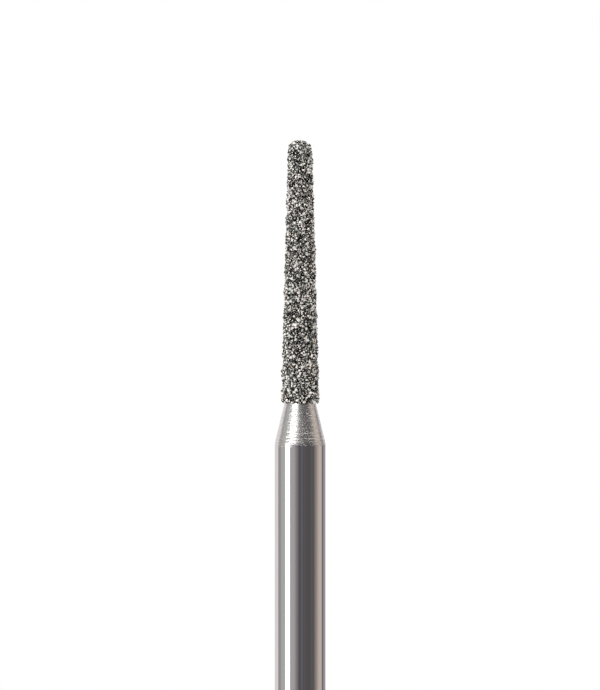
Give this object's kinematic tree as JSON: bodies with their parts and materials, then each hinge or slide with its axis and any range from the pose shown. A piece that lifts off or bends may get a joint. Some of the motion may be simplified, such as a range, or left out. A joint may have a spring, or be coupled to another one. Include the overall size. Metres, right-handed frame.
{
  "type": "dental bur",
  "caption": "Round steel shank with a conical neck and a long tapered, round-edged head coated in diamond grit, for cutting teeth in a high-speed handpiece.",
  "frame": {"origin": "centre of the flat end face of the shank", "axes": "+Z along the tool's axis from the shank's end to the cutting tip; X and Y are alike, because the tool is round"},
  "size_m": [0.0016, 0.0016, 0.021],
  "materials": {
    "ground_steel": "centreless-ground and polished shank, finely turned satin neck",
    "diamond_in_nickel": "coarse diamond grit held in matt plated nickel"
  },
  "bodies": {
    "root": {"steel_blank": "ground_steel", "diamond_layer": "diamond_in_nickel"}
  },
  "joints": []
}
